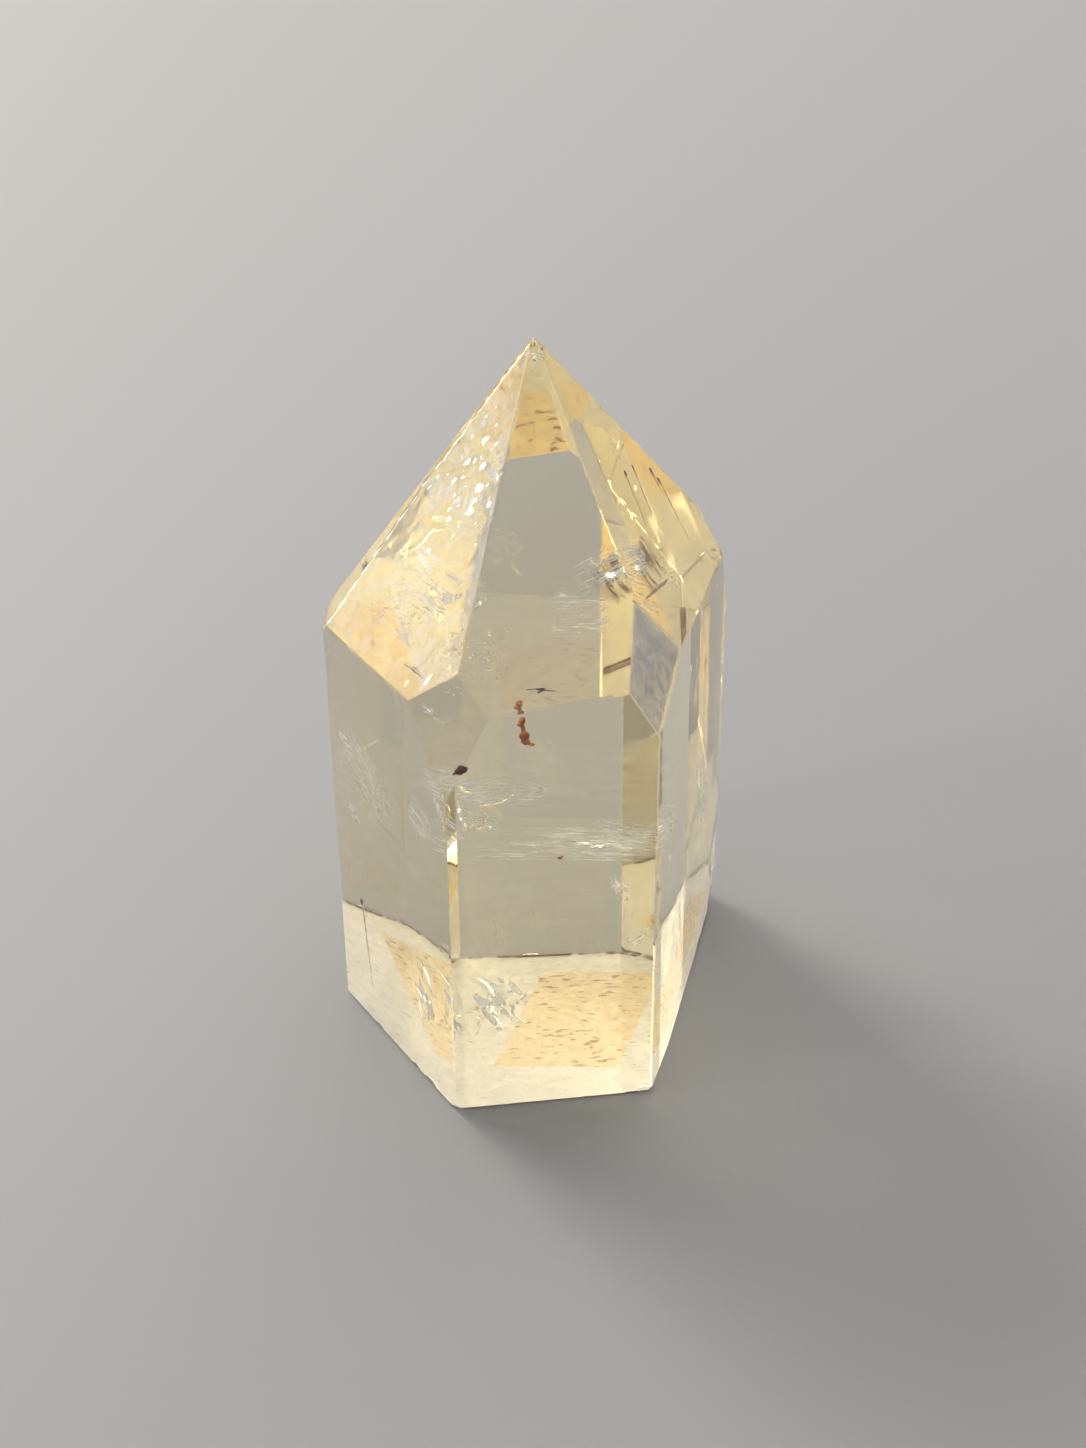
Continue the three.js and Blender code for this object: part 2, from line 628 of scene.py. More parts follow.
crystal = makeCrystal()
print("crystal faces:", len(crystal.data.polygons))

# the sawn base: a matt skin just inside the flat underside, with a painted pool of golden light in the middle
sawnBase = {
    "lift": 0.04,
    "margin": 0.25,
    "thickness": 0.015,
    "matt": 0.55,
    "paleColours": ((0.80, 0.79, 0.76, 1), (0.95, 0.93, 0.88, 1)),
    "paintedLightColours": ((0.86, 0.68, 0.42, 1), (0.98, 0.87, 0.64, 1)),
    "fleckColour": (0.30, 0.18, 0.09, 1),
    # the golden oblong in the middle is painted light: a pool of light that came through the crystal, painted
    # onto the base
    "paintedLightMiddle": (3.6, 2.5),
    "paintedLightTurn": 8,
    "paintedLightHalf": (7.2, 14.6),
    "paintedLightEdge": 0.3,
    "wearScale": 300.0,
    "wearScuffs": 0.8,
    "roughness": (0.45, 0.8),
    "fleckTurn": 24,
    "fleckStretch": (0.5, 1, 1),
    "fleckScale": 1250,
    "fleckRange": (0.68, 0.72),
    "fleckCover": 0.95,
    "fleckInPaintedLight": 0.075,
    "patchScale": 240,
    "patchRange": (0.4, 0.6),
    "patchPull": (-0.05, 0.03),
    "paleScale": 160,
    "paintedLightScale": 220,
    "mottleScale": 500,
    "mottle": 0.07,
    "mottleRange": (0.35, 0.65),
    "bumpStrength": 0.2,
    "bumpDepth": 0.03,
}


def sawnBaseMaterial():
    material, tree, shader = newMaterial("sawnBase")
    body = objectCoordinates(tree)
    wear = placeGroup(tree, polishWear, Vector=body, Scale=sawnBase["wearScale"],
                      Scuffs=sawnBase["wearScuffs"])
    slant = tree.nodes.new("ShaderNodeMapping")
    slant.vector_type = "TEXTURE"
    slant.inputs["Location"].default_value = place((*sawnBase["paintedLightMiddle"], 0))
    slant.inputs["Rotation"].default_value = turned((0, 0, -sawnBase["paintedLightTurn"]))
    tree.links.new(body, slant.inputs["Vector"])
    slantAxes = splitAxes(tree, slant.outputs["Vector"])
    # painted light: a tilted oblong in the middle of the base turns gold and gets more flecks
    paintedLightPatch = None
    for axis, half in zip(("X", "Y"), sawnBase["paintedLightHalf"]):
        away = addMath(tree, "ABSOLUTE", slantAxes[axis], 0)
        side = addRange(tree, away, (half - sawnBase["paintedLightEdge"]) * mm, half * mm, 1, 0)
        paintedLightPatch = side if paintedLightPatch is None else multiply(tree, paintedLightPatch, side)
    dashes = addMapping(tree, body, (0, 0, sawnBase["fleckTurn"]), sawnBase["fleckStretch"])
    flecks = addNoise(tree, dashes, sawnBase["fleckScale"], 2.0)
    patchNoise = addNoise(tree, body, sawnBase["patchScale"], 2.0)
    patches = addRange(tree, patchNoise, *sawnBase["patchRange"], *sawnBase["patchPull"])
    flecksInPaintedLight = multiply(tree, paintedLightPatch, sawnBase["fleckInPaintedLight"])
    fleckAmount = addMath(tree, "ADD", addMath(tree, "ADD", flecks, patches), flecksInPaintedLight)
    dirt = addRange(tree, fleckAmount, *sawnBase["fleckRange"], 0, sawnBase["fleckCover"])
    paleGrain = addNoise(tree, body, sawnBase["paleScale"], 4.0)
    pale = addMix(tree, paleGrain, *sawnBase["paleColours"])
    paintedLightGrain = addNoise(tree, body, sawnBase["paintedLightScale"], 4.0)
    paintedLightGold = addMix(tree, paintedLightGrain, *sawnBase["paintedLightColours"])
    colour = addMix(tree, paintedLightPatch, pale, paintedLightGold)
    tint(tree, shader, dirt, colour, sawnBase["fleckColour"])
    roughness = addRange(tree, wear.outputs["Dullness"], 0, 1, *sawnBase["roughness"])
    tree.links.new(roughness, shader.inputs["Roughness"])
    mottle = addNoise(tree, body, sawnBase["mottleScale"])
    thin, thick = sawnBase["matt"] - sawnBase["mottle"], sawnBase["matt"] + sawnBase["mottle"]
    matt = addRange(tree, mottle, *sawnBase["mottleRange"], thin, thick)
    tree.links.new(addMath(tree, "MAXIMUM", matt, dirt), shader.inputs["Alpha"])
    relief = addMath(tree, "ADD", wear.outputs["Height"], dirt)
    addBump(tree, shader, relief, sawnBase["bumpStrength"], sawnBase["bumpDepth"] * mm)
    return material


def facetOutline(normal, margin, depth):  # one facet, sunk a little, with a rim of even width marked off
    outline = copyCrystal()
    bpy.context.tool_settings.mesh_select_mode = (False, False, True)
    for face in outline.data.polygons:
        face.select = face.normal.dot(normal) < flatEnough
    bpy.ops.object.mode_set(mode="EDIT")
    bpy.ops.mesh.delete(type="FACE")
    bpy.ops.mesh.select_all(action="SELECT")
    bpy.ops.transform.translate(value=normal * (-depth * mm))
    bpy.ops.mesh.inset(thickness=margin * mm, use_boundary=True)
    return outline


def dropRim():  # the face inside the rim is the one that an inset leaves selected
    bpy.ops.mesh.select_all(action="INVERT")
    bpy.ops.mesh.delete(type="FACE")


def thicken(skin, name, thickness, material):
    leaveEdit()
    skin = settle(skin, name)
    wall = skin.modifiers.new("wall", "SOLIDIFY")
    wall.thickness = thickness * mm
    applyModifiers(skin)
    outwardFaces(skin)
    sealIn(skin, material)


downward = Vector((0, 0, -1))


def makeSawnBase():
    skin = facetOutline(downward, sawnBase["margin"], sawnBase["lift"])
    dropRim()
    thicken(skin, "sawn_base", sawnBase["thickness"], sawnBaseMaterial())


makeSawnBase()
print("sawn base laid")

# rust that has crept in along the back edge of the base
rustSeam = {
    "margin": 0.15,
    "width": 0.4,
    "lift": 0.1,
    "thickness": 0.1,
    "startsAt": 2,  # only the part behind this line is rusty
    "colours": ((0.12, 0.05, 0.02, 1), (0.34, 0.17, 0.06, 1)),
    "grainScale": 900,
    "roughness": (0.5, 0.8),
    "patchScale": 420,
    "patchRange": (0.42, 0.58),
    "cover": 0.85,
    "bumpStrength": 0.4,
    "bumpDepth": 0.05,
}


def rustSeamMaterial():
    material, tree, shader = newMaterial("rustSeam")
    body = objectCoordinates(tree)
    grain = addNoise(tree, body, rustSeam["grainScale"], 4.0)
    tint(tree, shader, grain, *rustSeam["colours"])
    roughen(tree, shader, grain, *rustSeam["roughness"])
    patchNoise = addNoise(tree, body, rustSeam["patchScale"])
    patches = addRange(tree, patchNoise, *rustSeam["patchRange"], 0, rustSeam["cover"])
    tree.links.new(patches, shader.inputs["Alpha"])
    addBump(tree, shader, grain, rustSeam["bumpStrength"], rustSeam["bumpDepth"] * mm)
    return material


def makeRustSeam():
    seam = facetOutline(downward, rustSeam["margin"], rustSeam["lift"])
    dropRim()
    bpy.ops.mesh.select_all(action="SELECT")
    bpy.ops.mesh.inset(thickness=rustSeam["width"] * mm, use_boundary=True)
    bpy.ops.mesh.delete(type="FACE")
    bpy.ops.mesh.select_all(action="SELECT")
    bpy.ops.mesh.bisect(plane_co=place((0, rustSeam["startsAt"], 0)), plane_no=(0, 1, 0), clear_inner=True)
    thicken(seam, "rust_seam", rustSeam["thickness"], rustSeamMaterial())


makeRustSeam()
print("rust seam laid")

# etched frost: a thin pale skin just under each etched facet, broken up into cells on the tip
frost = {
    "margin": 0.3,
    "depth": 0.3,
    "thickness": 0.015,
    "stretchTurn": 33,
    "stretch": (1.0, 1.0, 0.62),
    "cellEdge": (0.08, 0.24),
    "fadeFrom": 0.35,  # a share of each skin's reach
    "patchScale": 330,
    "patchRange": (0.44, 0.62),
    "hazeScale": 800,
    "hazeRange": (0.42, 0.62),
    "grainScale": 1100,
    "roughness": (0.3, 0.6),
    "bumpStrength": 0.5,
    "bumpDepth": 0.08,
}
frostSkins = {
    "tip_frost": {
        "facet": "leftTip", "material": "tipFrost", "focus": (-4.6, -3.6, 68.5), "reach": 8.5,
        "cell": 1.15, "cells": 0.75, "film": 0.0, "haze": 0.16,
        "colours": ((0.55, 0.55, 0.54, 1), (0.92, 0.92, 0.90, 1)),
    },
    "shoulder_frost": {
        "facet": "rightShoulder", "material": "shoulderFrost", "focus": (12, -17, 54), "reach": 40,
        "cell": 0.9, "cells": 0.0, "film": 0.5, "haze": 0.35,
        "colours": ((0.50, 0.47, 0.43, 1), (0.95, 0.92, 0.86, 1)),
    },
}


def frostMaterial(skin):
    material, tree, shader = newMaterial(skin["material"])
    body = objectCoordinates(tree)
    stretched = addMapping(tree, body, (0, 0, frost["stretchTurn"]), frost["stretch"])
    cells = tree.nodes.new("ShaderNodeTexVoronoi")
    cells.feature = "DISTANCE_TO_EDGE"
    cells.inputs["Scale"].default_value = 1 / (skin["cell"] * mm)
    tree.links.new(stretched, cells.inputs["Vector"])
    islands = addRange(tree, cells.outputs["Distance"], *frost["cellEdge"], 0, 1)
    spread = tree.nodes.new("ShaderNodeVectorMath")
    spread.operation = "DISTANCE"
    spread.inputs[1].default_value = place(skin["focus"])
    tree.links.new(body, spread.inputs[0])
    reach = skin["reach"] * mm
    near = addRange(tree, spread.outputs["Value"], reach * frost["fadeFrom"], reach, 1, 0)
    patchNoise = addNoise(tree, body, frost["patchScale"])
    patches = addRange(tree, patchNoise, *frost["patchRange"], 0, 1)
    cellMask = multiply(tree, multiply(tree, islands, near), patches)
    hazeNoise = addNoise(tree, stretched, frost["hazeScale"], 4.0, 0.6)
    haze = addRange(tree, hazeNoise, *frost["hazeRange"], 0, 1)
    cellShare = multiply(tree, cellMask, skin["cells"])
    hazeShare = multiply(tree, haze, skin["haze"])
    opacity = addMath(tree, "ADD", cellShare, hazeShare)
    tree.links.new(addMath(tree, "ADD", opacity, skin["film"]), shader.inputs["Alpha"])
    grain = addNoise(tree, body, frost["grainScale"])
    tint(tree, shader, grain, *skin["colours"])
    roughen(tree, shader, grain, *frost["roughness"])
    addBump(tree, shader, haze, frost["bumpStrength"], frost["bumpDepth"] * mm)
    return material


def makeFrostSkin(name, skin):
    facet = etchedFacets[skin["facet"]]
    sheet = facetOutline(facing(facet["azimuth"], facet["slope"]), frost["margin"], frost["depth"])
    dropRim()
    thicken(sheet, name, frost["thickness"], frostMaterial(skin))


for name, skin in frostSkins.items():
    makeFrostSkin(name, skin)
print("frost skins:", len(frostSkins))

# mineral grains sealed in the crystal
mineralLooks = {
    "rust": {"colours": ((0.16, 0.035, 0.008, 1), (0.62, 0.24, 0.04, 1)), "scale": 1400, "roughness": 0.45},
    "dark": {"colours": ((0.012, 0.002, 0.002, 1), (0.09, 0.014, 0.008, 1)), "scale": 1500, "roughness": 0.3},
    "amber": {"colours": ((0.30, 0.22, 0.10, 1), (0.58, 0.45, 0.25, 1)), "scale": 900, "roughness": 0.35},
    "pale": {"colours": ((0.34, 0.22, 0.10, 1), (0.72, 0.55, 0.32, 1)), "scale": 1200, "roughness": 0.4},
    "brown": {"colours": ((0.06, 0.03, 0.012, 1), (0.30, 0.17, 0.06, 1)), "scale": 1200, "roughness": 0.5},
}

mineralGrain = {"contrast": (0.35, 0.65), "rougher": 0.25, "bumpStrength": 0.4, "bumpDepth": 0.05}


def mineralMaterial(name, look):
    material, tree, shader = newMaterial(name)
    grain = addNoise(tree, objectCoordinates(tree), look["scale"], 4.0)
    contrast = addRange(tree, grain, *mineralGrain["contrast"], 0, 1)
    tint(tree, shader, contrast, *look["colours"])
    rough = look["roughness"]
    roughen(tree, shader, grain, rough, rough + mineralGrain["rougher"])
    addBump(tree, shader, grain, mineralGrain["bumpStrength"], mineralGrain["bumpDepth"] * mm)
    return material


minerals = {name: mineralMaterial(name + "Mineral", look) for name, look in mineralLooks.items()}

grains = {
    "rust_grain": {"mineral": "rust", "rough": 0.06, "lobes": [
        {"spot": (-1.25, -16.6, 49.2), "size": (0.34, 0.25, 0.50), "lean": (0, 10, 0)},
        {"spot": (-1.45, -16.6, 48.8), "size": (0.36, 0.22, 0.30), "lean": (0, 0, 0)},
        {"spot": (-1.15, -16.6, 48.2), "size": (0.22, 0.20, 0.70), "lean": (0, -8, 0)},
        {"spot": (-1.05, -16.6, 47.4), "size": (0.52, 0.30, 0.55), "lean": (0, 0, 0)},
        {"spot": (-0.95, -16.5, 46.7), "size": (0.42, 0.28, 0.50), "lean": (0, -20, 0)},
        {"spot": (-0.45, -16.5, 46.3), "size": (0.46, 0.20, 0.20), "lean": (0, 15, 0)},
    ]},
    "dark_bead": {"mineral": "dark", "rough": 0.04, "lobes": [
        {"spot": (-6.8, -21.9, 45.7), "size": (0.36, 0.28, 0.44), "lean": (0, 45, 0)},
        {"spot": (-7.1, -21.9, 45.4), "size": (0.28, 0.22, 0.50), "lean": (0, 50, 0)},
        {"spot": (-7.4, -21.9, 45.1), "size": (0.13, 0.12, 0.36), "lean": (0, 55, 0)},
    ]},
    "brown_spot": {"mineral": "rust", "rough": 0.05, "lobes": [
        {"spot": (2.0, -8.0, 27.9), "size": (0.26, 0.18, 0.24), "lean": (0, 0, 0)},
        {"spot": (2.25, -8.0, 28.1), "size": (0.16, 0.12, 0.12), "lean": (0, 0, 0)},
    ]},
    "middle_flake": {"mineral": "brown", "rough": 0.03, "lobes": [
        {"spot": (0.9, -19.6, 53.3), "size": (0.50, 0.12, 0.14), "lean": (0, 10, 0)},
        {"spot": (0.5, -19.6, 53.4), "size": (1.10, 0.07, 0.07), "lean": (0, -6, 0)},
        {"spot": (1.6, -19.6, 53.2), "size": (0.90, 0.07, 0.07), "lean": (0, 6, 0)},
        {"spot": (0.8, -19.6, 53.0), "size": (0.28, 0.07, 0.09), "lean": (0, -25, 0)},
    ]},
    "left_flake": {"mineral": "brown", "rough": 0.03, "lobes": [
        {"spot": (-11.4, -14.7, 52.3), "size": (0.60, 0.14, 0.14), "lean": (0, 12, -50)},
        {"spot": (-12.0, -14.2, 52.4), "size": (1.00, 0.07, 0.07), "lean": (0, -4, -50)},
        {"spot": (-10.9, -15.2, 52.2), "size": (1.10, 0.07, 0.07), "lean": (0, 8, -50)},
        {"spot": (-11.2, -14.9, 52.7), "size": (0.60, 0.08, 0.07), "lean": (0, 4, -50)},
    ]},
    "amber_bar": {"mineral": "amber", "rough": 0.02, "lobes": [
        {"spot": (11.1, -7.7, 56.4), "size": (3.6, 0.12, 0.20), "lean": (0, 17, 70)},
        {"spot": (11.9, -5.5, 55.7), "size": (2.0, 0.15, 0.25), "lean": (0, 17, 70)},
    ]},
    "needle_head": {"mineral": "dark", "rough": 0.05, "lobes": [
        {"spot": (-18.4, -6.5, 16.1), "size": (0.26, 0.26, 0.42), "lean": (0, 0, 0)},
        {"spot": (-18.3, -6.6, 15.5), "size": (0.17, 0.17, 0.50), "lean": (0, -4, 0)},
    ]},
}

grainVoxel = 0.045
grainRelief = 0.25


def makeGrain(name, grain):
    piece = settle(joined([addLump(lobe) for lobe in grain["lobes"]]), name)
    fuse = piece.modifiers.new("fuse", "REMESH")
    fuse.mode = "VOXEL"
    fuse.voxel_size = grainVoxel * mm
    addDisplace(piece, "CLOUDS", grainRelief * mm, grain["rough"] * mm * 2, mid_level=0.5)
    applyModifiers(piece)
    bpy.ops.object.shade_smooth()
    outwardFaces(piece)
    sealIn(piece, minerals[grain["mineral"]])


for name, grain in grains.items():
    makeGrain(name, grain)
print("mineral grains:", len(grains))

# the brown needle that runs down the left face
needle = {
    "top": (-18.35, -6.6, 16.0),
    "bottom": (-17.6, -7.6, 4.5),
    "thick": 0.16,
    "thin": 0.03,
    "sides": 10,
    "cuts": 14,
    "waveSize": 1.2,
    "waveHeight": 0.25,
}


def makeNeedle():
    top, bottom = place(needle["top"]), place(needle["bottom"])
    along = top - bottom
    deselectAll()
    bpy.ops.mesh.primitive_cone_add(
        vertices=needle["sides"], radius1=needle["thin"] * mm, radius2=needle["thick"] * mm,
        depth=along.length, location=(top + bottom) / 2,
        rotation=along.to_track_quat("Z", "Y").to_euler())
    piece = bpy.context.object
    editAll()
    bpy.ops.mesh.subdivide(number_cuts=needle["cuts"])
    leaveEdit()
    piece = settle(piece, "brown_needle")
    addDisplace(piece, "CLOUDS", needle["waveSize"] * mm, needle["waveHeight"] * mm,
                mid_level=0.5, direction="X")
    applyModifiers(piece)
    bpy.ops.object.shade_smooth()
    outwardFaces(piece)
    sealIn(piece, minerals["pale"])


makeNeedle()
print("needle laid")

# thin gas-filled cracks: inside one, light meets the crystal from the thin side
airLook = {
    "ior": 0.646,
    "tints": ((0.93, 0.92, 0.90, 1), (1, 1, 1, 1)),
    "rippleScale": 700,
    "dullRange": (0.4, 0.8),
    "dull": 0.12,
    "bumpStrength": 0.3,
    "bumpDepth": 0.08,
}


def airFilmMaterial():
    material, tree, shader = newMaterial("airFilm")
    shader.inputs["IOR"].default_value = airLook["ior"]
    shader.inputs["Transmission Weight"].default_value = 1.0
    body = objectCoordinates(tree)
    ripple = addNoise(tree, body, airLook["rippleScale"])
    tint(tree, shader, ripple, *airLook["tints"])
    dullness = addRange(tree, ripple, *airLook["dullRange"], 0, airLook["dull"])
    tree.links.new(dullness, shader.inputs["Roughness"])
    addBump(tree, shader, ripple, airLook["bumpStrength"], airLook["bumpDepth"] * mm)
    return material


airFilm = airFilmMaterial()

cracks = {
    "shard_crack_a": {"spot": (-7.2, -18.9, 38.8), "size": (1.7, 0.5), "turn": (130, 25, 5), "bow": 40},
    "shard_crack_b": {"spot": (-6.4, -18.4, 37.4), "size": (1.3, 0.4), "turn": (130, 10, 0), "bow": 30},
    "arc_crack": {"spot": (-4.2, -17.0, 39.8), "size": (2.2, 0.3), "turn": (130, 20, 0), "bow": 60},
    "spark_crack": {"spot": (-5.4, -17.4, 36.2), "size": (0.9, 0.4), "turn": (120, -30, 10), "bow": 50},
    "band_crack": {"spot": (6.8, -10.4, 30.4), "size": (3.2, 0.8), "turn": (25, 8, 10), "bow": 40},
    "low_right_crack": {"spot": (8.2, -7.4, 23.2), "size": (1.3, 0.5), "turn": (70, 70, 0), "bow": 50},
    "cluster_crack_a": {"spot": (-6.0, -15.4, 14.0), "size": (2.3, 0.5), "turn": (125, -60, 20), "bow": 80},
    "cluster_crack_b": {"spot": (-4.2, -15.3, 12.6), "size": (2.3, 0.6), "turn": (120, -50, 10), "bow": 90},
    "cluster_crack_c": {"spot": (-2.4, -15.2, 12.0), "size": (2.0, 0.4), "turn": (130, -65, 25), "bow": 70},
    "cluster_crack_d": {"spot": (-4.6, -15.6, 10.0), "size": (1.8, 0.8), "turn": (130, -35, 0), "bow": 50},
    "cluster_crack_e": {"spot": (-2.2, -15.0, 9.4), "size": (1.6, 0.5), "turn": (5, -75, 25), "bow": 40},
    "cluster_crack_f": {"spot": (-6.6, -16.6, 9.0), "size": (1.4, 0.5), "turn": (120, -20, 5), "bow": 50},
    "low_left_crack_a": {"spot": (-10, -15.8, 13.5), "size": (2.4, 0.5), "turn": (165, -80, -45), "bow": 70},
    "low_left_crack_b": {"spot": (-10.4, -15.2, 10.5), "size": (2.0, 0.6), "turn": (35, -65, -45), "bow": 60},
    "low_left_crack_c": {"spot": (-11.0, -14.6, 7.6), "size": (1.5, 0.5), "turn": (150, -75, -40), "bow": 50},
    "low_left_crack_d": {"spot": (-12.4, -13.0, 5.6), "size": (1.0, 0.4), "turn": (120, 40, -50), "bow": 40},
    "left_face_crack": {"spot": (-15.6, -5.6, 31.6), "size": (2.6, 0.4), "turn": (120, 40, -50), "bow": 30},
    "left_face_crack_b": {"spot": (-9.4, -15.2, 33.6), "size": (1.6, 0.4), "turn": (115, 35, -50), "bow": 30},
    "side_crack_a": {"spot": (16.8, 2.6, 25.8), "size": (2.2, 0.7), "turn": (130, -50, 45), "bow": 40},
    "side_crack_b": {"spot": (17.0, 2.0, 23.6), "size": (1.8, 0.6), "turn": (160, -75, 25), "bow": 50},
    "side_crack_c": {"spot": (18.0, 6.6, 22.5), "size": (2.0, 0.6), "turn": (-80, -75, 155), "bow": 30},
    "side_crack_d": {"spot": (17.5, 3.8, 15.0), "size": (2.4, 0.3), "turn": (90, -85, 0), "bow": 30},
    "side_crack_e": {"spot": (17.4, 3.6, 20.0), "size": (1.5, 0.5), "turn": (120, -20, 50), "bow": 40},
    "spall_crack": {"spot": (19.8, 12.6, 36.0), "size": (2.6, 0.35), "turn": (160, -80, 25), "bow": 20},
    "tip_crack": {"spot": (3.3, 3.6, 72.9), "size": (2.0, 0.25), "turn": (95, -10, 85), "bow": 10},
    "tip_flaw": {"spot": (0.6, 3.6, 77.4), "size": (0.5, 0.4), "turn": (50, 20, 0), "bow": 70},
    "flake_crack_a": {"spot": (6.4, -6.0, 58.2), "size": (1.4, 0.5), "turn": (115, -20, -5), "bow": 50},
    "flake_crack_b": {"spot": (8.4, -6.0, 57.6), "size": (1.3, 0.4), "turn": (0, -35, 0), "bow": 40},
    "left_tip_crack_a": {"spot": (-11.2, -7.8, 52.0), "size": (2.1, 0.5), "turn": (105, 20, -45), "bow": 50},
    "left_tip_crack_b": {"spot": (-7.6, -4.5, 55.0), "size": (2.0, 0.7), "turn": (105, 40, -40), "bow": 70},
    "left_tip_crack_c": {"spot": (-5.4, -6.2, 54.2), "size": (1.7, 0.4), "turn": (35, 25, 10), "bow": 60},
    "amber_crack": {"spot": (-8.3, -9.3, 49.8), "size": (2.3, 0.3), "turn": (105, 5, -55), "bow": 80},
}

# how every thin sheet is bent and torn
sheet = {
    "lobeScale": 1.6,
    "toothScale": 4,
    "pull": 0.8,
    "lobePull": 0.7,
    "toothPull": 0.5,
    "crackGap": 0.025,
    "crackWave": 0.5,
    "crackRise": 0.4,
    "veilGrid": (36, 24),
    "veilWall": 0.01,
    "veilWave": 2.2,
    "veilRise": 0.9,
}


def bowSheet(piece, spec, waveSize, waveHeight, wall=0):
    name = piece.name
    piece.rotation_euler = turned((90, 0, 0))  # stood up, because a bend turns about the upright axis
    settle(piece, name)
    addDisplace(piece, "CLOUDS", waveSize * mm, waveHeight * mm, mid_level=0.5, direction="Y")
    bow = piece.modifiers.new("bow", "SIMPLE_DEFORM")
    bow.deform_method = "BEND"
    bow.deform_axis = "Z"
    bow.angle = math.radians(spec["bow"])
    if wall:
        thick = piece.modifiers.new("wall", "SOLIDIFY")
        thick.thickness = wall * mm
    applyModifiers(piece)
    bpy.ops.object.shade_smooth()
    bpy.ops.object.origin_set(type="ORIGIN_GEOMETRY", center="BOUNDS")
    lean, roll, swing = spec["turn"]
    piece.rotation_euler = turned((lean - 90, roll, swing))
    piece.location = place(spec["spot"])
    settle(piece, name)


def makeCrack(name, crack):
    wide, tall = crack["size"]
    deselectAll()
    bpy.ops.mesh.primitive_ico_sphere_add(subdivisions=5, radius=1)
    piece = bpy.context.object
    piece.name = name
    rng = random.Random(name)
    shift = Vector((rng.uniform(0, 9), rng.uniform(0, 9), 0))
    for vertex in piece.data.vertices:  # a ragged outline, like a torn leaf
        flat = Vector((vertex.co.x, vertex.co.y, 0))
        lobes = noise.noise(flat.normalized() * sheet["lobeScale"] + shift)
        teeth = noise.noise(flat * sheet["toothScale"] + shift)
        pull = sheet["pull"] + sheet["lobePull"] * lobes + sheet["toothPull"] * teeth
        vertex.co.x *= pull
        vertex.co.y *= pull
    editAll()
    bpy.ops.transform.resize(value=(wide * mm, tall * mm, sheet["crackGap"] * mm))
    leaveEdit()
    bowSheet(piece, crack, sheet["crackWave"], sheet["crackRise"])
    sealIn(piece, airFilm)


for name, crack in cracks.items():
    makeCrack(name, crack)
print("cracks:", len(cracks))

# wispy veils: thin curved sheets that show only where their streaks are
veilLooks = {
    "silk": {"colour": (0.98, 0.97, 0.93, 1), "along": 2.5, "across": 26.0,
             "sparse": 0.50, "soft": 0.12, "opacity": 0.95, "roughness": 0.4},
    "pale": {"colour": (1.0, 0.99, 0.96, 1), "along": 2.2, "across": 15.0,
             "sparse": 0.50, "soft": 0.10, "opacity": 0.55, "roughness": 0.4},
    "mist": {"colour": (0.97, 0.95, 0.90, 1), "along": 2.0, "across": 7.0,
             "sparse": 0.42, "soft": 0.30, "opacity": 0.16, "roughness": 0.5},
    "hair": {"colour": (0.97, 0.95, 0.90, 1), "along": 1.1, "across": 75.0,
             "sparse": 0.50, "soft": 0.30, "opacity": 0.45, "roughness": 0.45},
    "spark": {"colour": (1.0, 0.93, 0.76, 1), "along": 14.0, "across": 22.0,
             "sparse": 0.60, "soft": 0.06, "opacity": 0.95, "roughness": 0.3},
    "shard": {"colour": (0.99, 0.98, 0.95, 1), "along": 3.5, "across": 8.0,
             "sparse": 0.54, "soft": 0.03, "opacity": 1.0, "roughness": 0.35},
    "rust": {"colour": (0.45, 0.26, 0.10, 1), "along": 12.0, "across": 2.0,
             "sparse": 0.40, "soft": 0.20, "opacity": 0.8, "roughness": 0.6},
}
veilGrain = {
    "scale": 900,
    "shade": 0.7,  # how dark its darker speckle is, as a share of the veil's colour
    "rougher": 0.2,
    "bumpStrength": 0.5,
    "bumpDepth": 0.1,
}


def veilMaterial(name, look):
    material, tree, shader = newMaterial(name)
    coordinates = tree.nodes.new("ShaderNodeTexCoord")
    body = coordinates.outputs["Object"]
    wisps = placeGroup(tree, wispMask, Sheet=coordinates.outputs["UV"], Body=body,
                       Along=look["along"], Across=look["across"], Sparse=look["sparse"], Soft=look["soft"])
    tree.links.new(multiply(tree, wisps.outputs["Mask"], look["opacity"]), shader.inputs["Alpha"])
    grain = addNoise(tree, body, veilGrain["scale"], 2.0)
    darker = tuple(channel * veilGrain["shade"] for channel in look["colour"][:3]) + (1,)
    tint(tree, shader, grain, darker, look["colour"])
    rough = look["roughness"]
    roughen(tree, shader, grain, rough, rough + veilGrain["rougher"])
    addBump(tree, shader, grain, veilGrain["bumpStrength"], veilGrain["bumpDepth"] * mm)
    return material


veilMaterials = {name: veilMaterial(name + "Veil", look) for name, look in veilLooks.items()}

